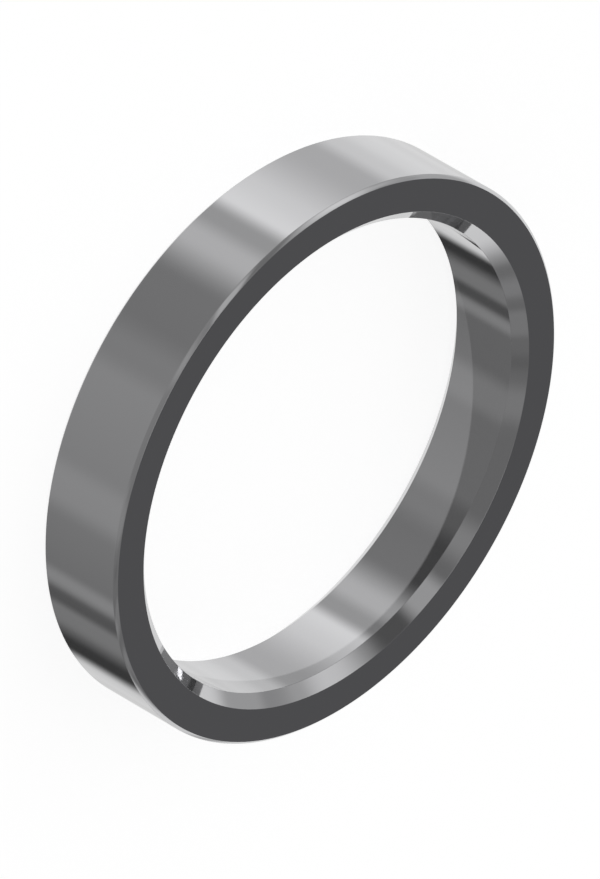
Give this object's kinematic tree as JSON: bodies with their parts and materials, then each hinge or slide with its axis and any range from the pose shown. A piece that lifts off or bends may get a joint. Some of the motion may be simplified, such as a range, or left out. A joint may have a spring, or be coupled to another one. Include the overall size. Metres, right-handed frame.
{
  "type": "hub spacer",
  "caption": "Plain turned metal ring with chamfered edges that slides over a hub or axle and spaces the pieces on it apart.",
  "frame": {"origin": "centre of the lower end face, on the axis of the bore", "axes": "+Z along the axis of the bore, from the lower end face to the upper one; X and Y are any two directions across it, because the ring is round"},
  "size_m": [0.06, 0.06, 0.0099],
  "materials": {
    "turned_steel": "fine turned steel, smooth and glossy, with very faint grooves round the axis"
  },
  "bodies": {
    "root": {"spacer_ring": "turned_steel"}
  },
  "joints": []
}
